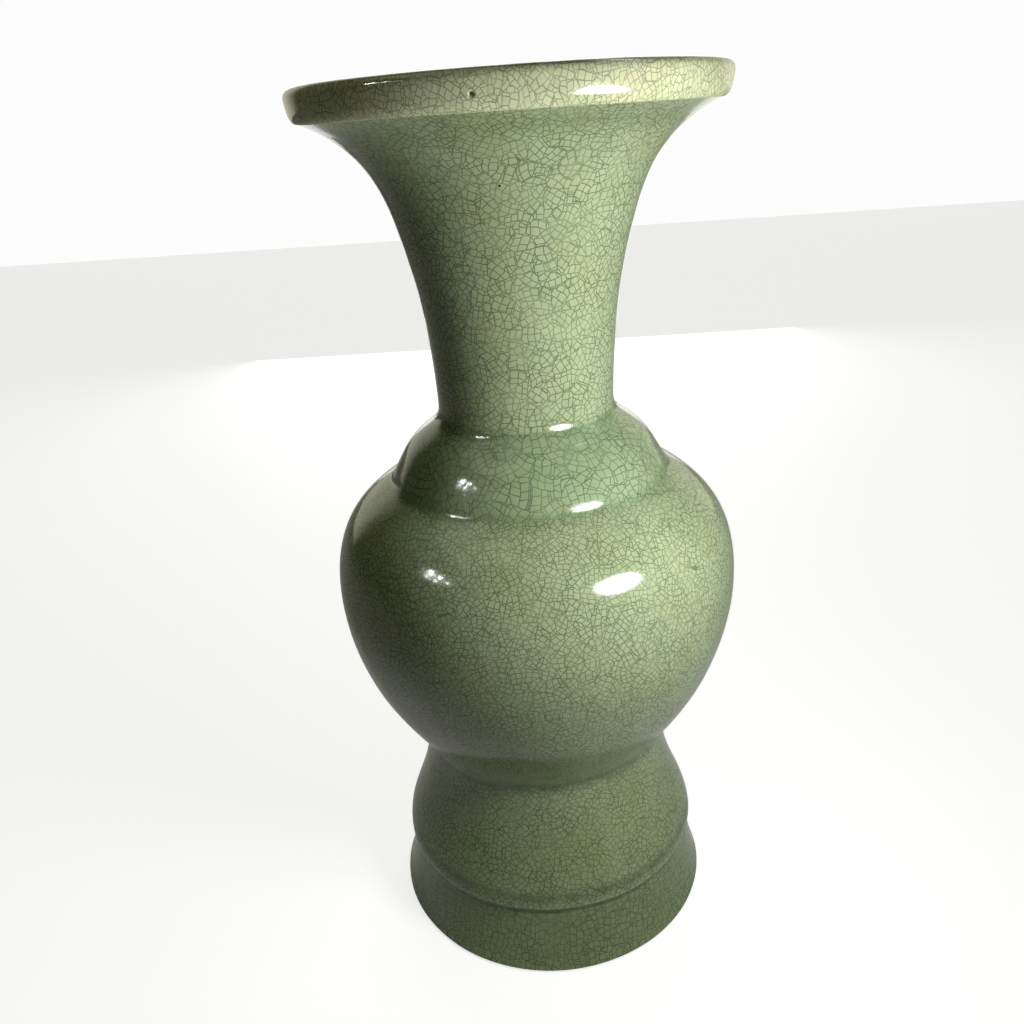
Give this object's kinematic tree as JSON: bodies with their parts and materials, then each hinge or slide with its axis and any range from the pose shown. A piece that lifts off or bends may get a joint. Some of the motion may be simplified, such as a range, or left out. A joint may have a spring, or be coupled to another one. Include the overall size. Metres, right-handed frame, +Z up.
{
  "type": "porcelain vase",
  "caption": "Tall crackle-glazed vase with a flared mouth and flat rim band, a domed shoulder collar, a round belly and a stepped bell-shaped foot.",
  "frame": {"origin": "centre of the foot ring's rest face, on the vase's axis", "axes": "+Z up the vase's axis from the foot to the mouth; the vase is round, so X and Y are alike"},
  "size_m": [0.1896, 0.1896, 0.4],
  "materials": {
    "fired_clay": "bare fired stoneware-like porcelain body, matt, buff to rust brown",
    "luting_slip": "fired slip between the thrown sections, hidden under the glaze",
    "celadon_glaze": "glossy sea-green celadon glaze with a fine dark crackle"
  },
  "bodies": {
    "root": {"foot_skirt": "fired_clay", "foot_drum": "fired_clay", "belly_lower_bowl": "fired_clay", "belly_upper_bowl": "fired_clay", "shoulder_collar": "fired_clay", "neck": "fired_clay", "mouth_band": "fired_clay", "slip_skirt_to_drum": "luting_slip", "slip_foot_to_belly": "luting_slip", "slip_belly_middle": "luting_slip", "slip_belly_to_collar": "luting_slip", "slip_collar_to_neck": "luting_slip", "slip_neck_to_mouth": "luting_slip", "outer_glaze": "celadon_glaze", "inner_glaze": "celadon_glaze", "foot_well_glaze": "celadon_glaze"}
  },
  "joints": []
}
